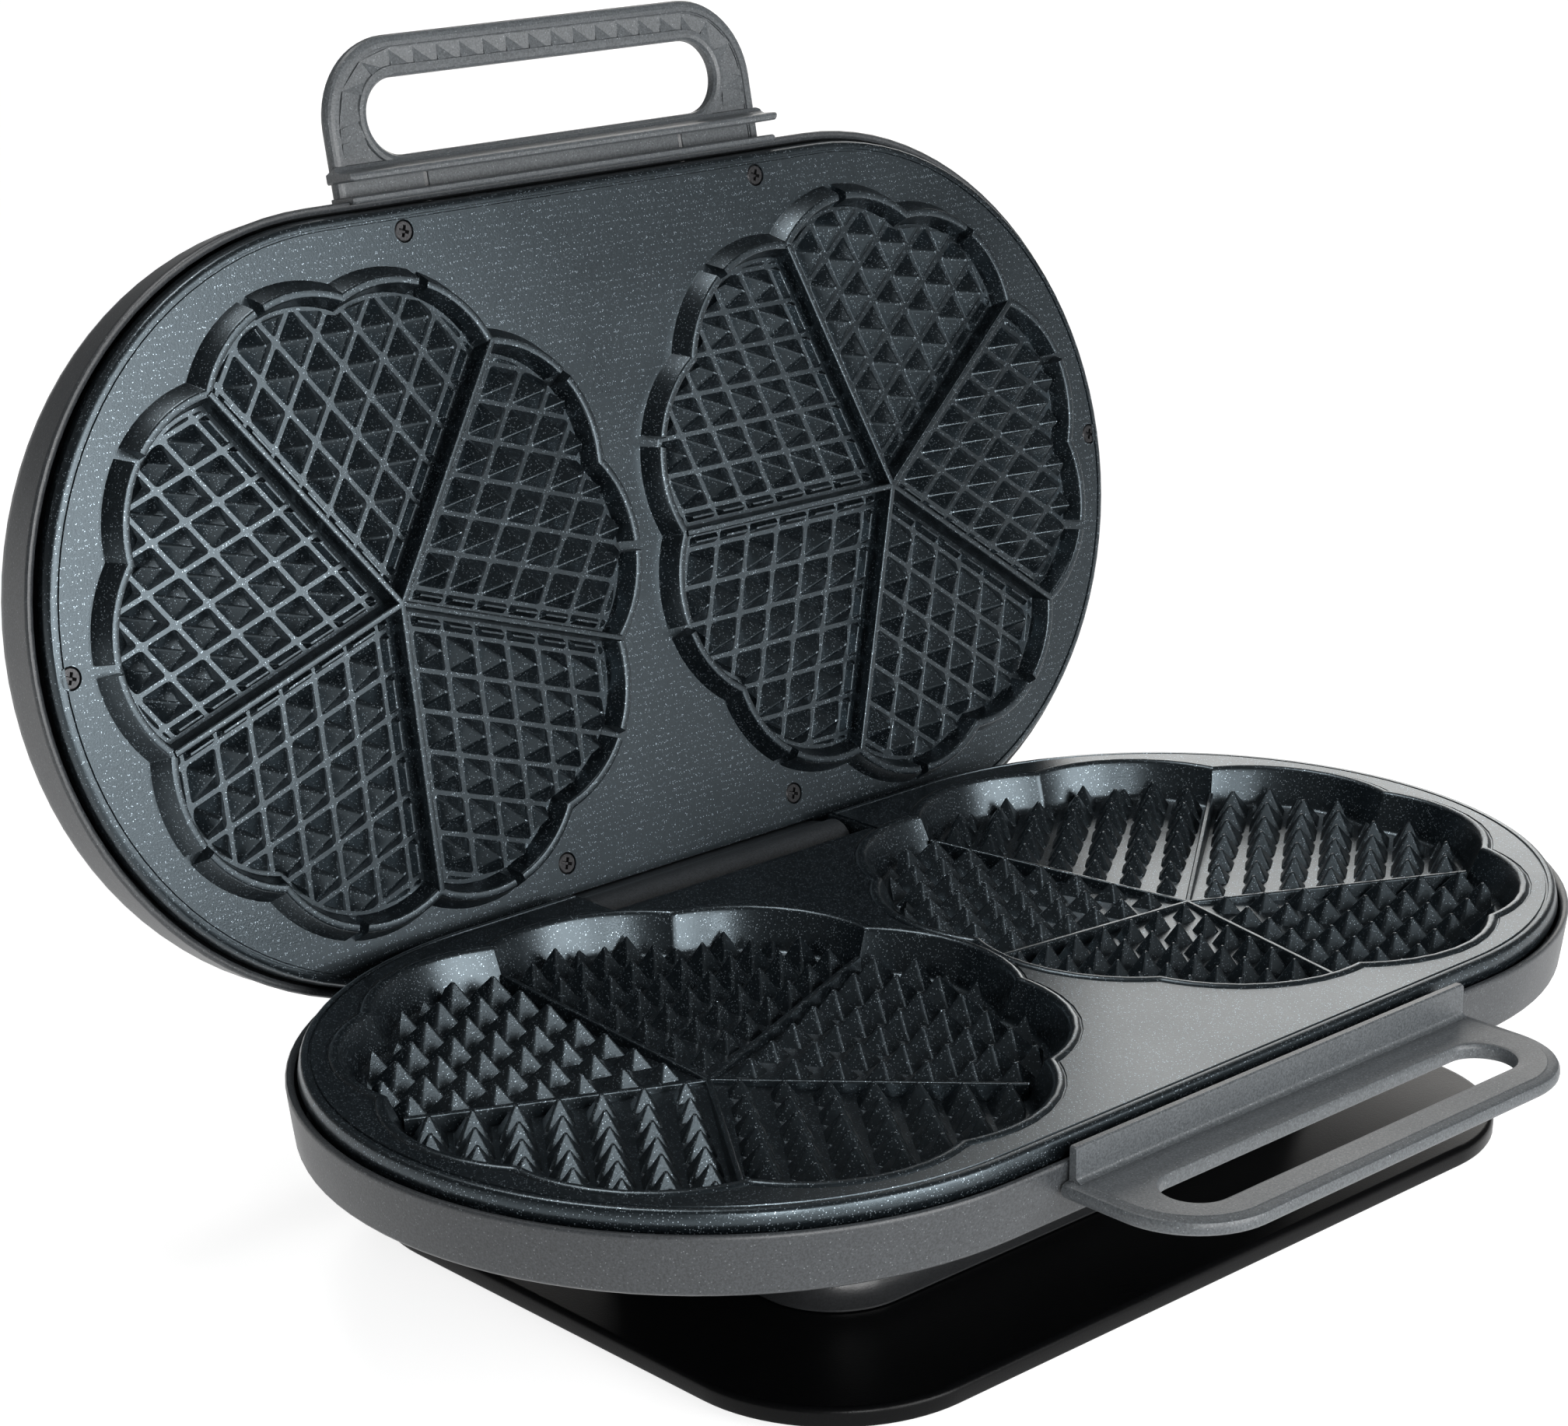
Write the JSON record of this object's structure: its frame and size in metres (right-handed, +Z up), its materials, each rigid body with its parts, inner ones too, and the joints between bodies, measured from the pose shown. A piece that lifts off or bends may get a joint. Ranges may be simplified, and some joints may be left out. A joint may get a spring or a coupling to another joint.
{
  "type": "waffle maker",
  "caption": "Pedestal waffle maker with two heart-flower waffle wells side by side, a hinged lid that stands open, and flat loop handles at the front.",
  "frame": {"origin": "on the ground, under the centre of the bounding box with the lid open", "axes": "+X to the user's right along the two waffles, -Y towards the user (handles), +Z up"},
  "size_m": [0.408, 0.344, 0.3075],
  "materials": {
    "handle": "fine textured dark grey-brown",
    "screw_steel": "blackened",
    "housing": "fine textured dark grey-brown",
    "knob": "satin black",
    "ceramic": "white glazed",
    "rubber": "matt black",
    "foot_gloss": "glossy black",
    "lead_sleeve": "glass-fibre sleeve",
    "pin_steel": "ground",
    "heater_steel": "dull",
    "nonstick_plate": "speckled non-stick coating",
    "reflector": "mill finish",
    "pedestal_satin": "satin black",
    "red_lens": "clear red",
    "green_lens": "clear green"
  },
  "bodies": {
    "base": {"base_handle": "handle", "base_handle_screw_left": "screw_steel", "base_handle_screw_right": "screw_steel", "base_housing": "housing", "cord_gland": "rubber", "foot_plate": "foot_gloss", "heater_lead_left": "lead_sleeve", "heater_lead_right": "lead_sleeve", "hinge_pin_left": "pin_steel", "hinge_pin_right": "pin_steel", "housing_screw_1": "screw_steel", "housing_screw_2": "screw_steel", "housing_screw_3": "screw_steel", "housing_screw_4": "screw_steel", "lower_heater_left": "heater_steel", "lower_heater_right": "heater_steel", "lower_plate": "nonstick_plate", "lower_plate_screw_1": "screw_steel", "lower_plate_screw_2": "screw_steel", "lower_reflector": "reflector", "lower_thermostat": "ceramic", "pedestal": "pedestal_satin", "pedestal_screw_1": "screw_steel", "pedestal_screw_2": "screw_steel", "pedestal_screw_3": "screw_steel", "pedestal_screw_4": "screw_steel", "rubber_foot_1": "rubber", "rubber_foot_2": "rubber", "rubber_foot_3": "rubber", "rubber_foot_4": "rubber", "terminal_block": "ceramic", "thermal_fuse": "ceramic"},
    "lid": {"lid_housing": "housing", "upper_plate": "nonstick_plate", "lid_handle": "handle", "hinge_knuckle": "housing", "upper_reflector": "reflector", "power_lamp": "red_lens", "ready_lamp": "green_lens", "browning_regulator": "ceramic", "knuckle_screw_left": "screw_steel", "knuckle_screw_right": "screw_steel", "lid_handle_screw_left": "screw_steel", "lid_handle_screw_right": "screw_steel", "plate_screw_1": "screw_steel", "plate_screw_2": "screw_steel", "plate_screw_3": "screw_steel", "plate_screw_4": "screw_steel", "plate_screw_5": "screw_steel", "plate_screw_6": "screw_steel", "upper_heater_left": "heater_steel", "upper_heater_right": "heater_steel"},
    "knob": {"browning_knob": "knob", "regulator_shaft": "pin_steel"}
  },
  "joints": [
    {"name": "lid_hinge", "type": "hinge", "parent": "base", "child": "lid", "pos_m": [0, 0.0844, 0.061], "axis": [1, 0, 0], "range_deg": [0, 102]},
    {"name": "knob_turn", "type": "hinge", "parent": "lid", "child": "knob", "pos_m": [0, 0.15708, 0.21056], "axis": [0, 0.9781, -0.2079], "range_deg": [0, 270]}
  ]
}
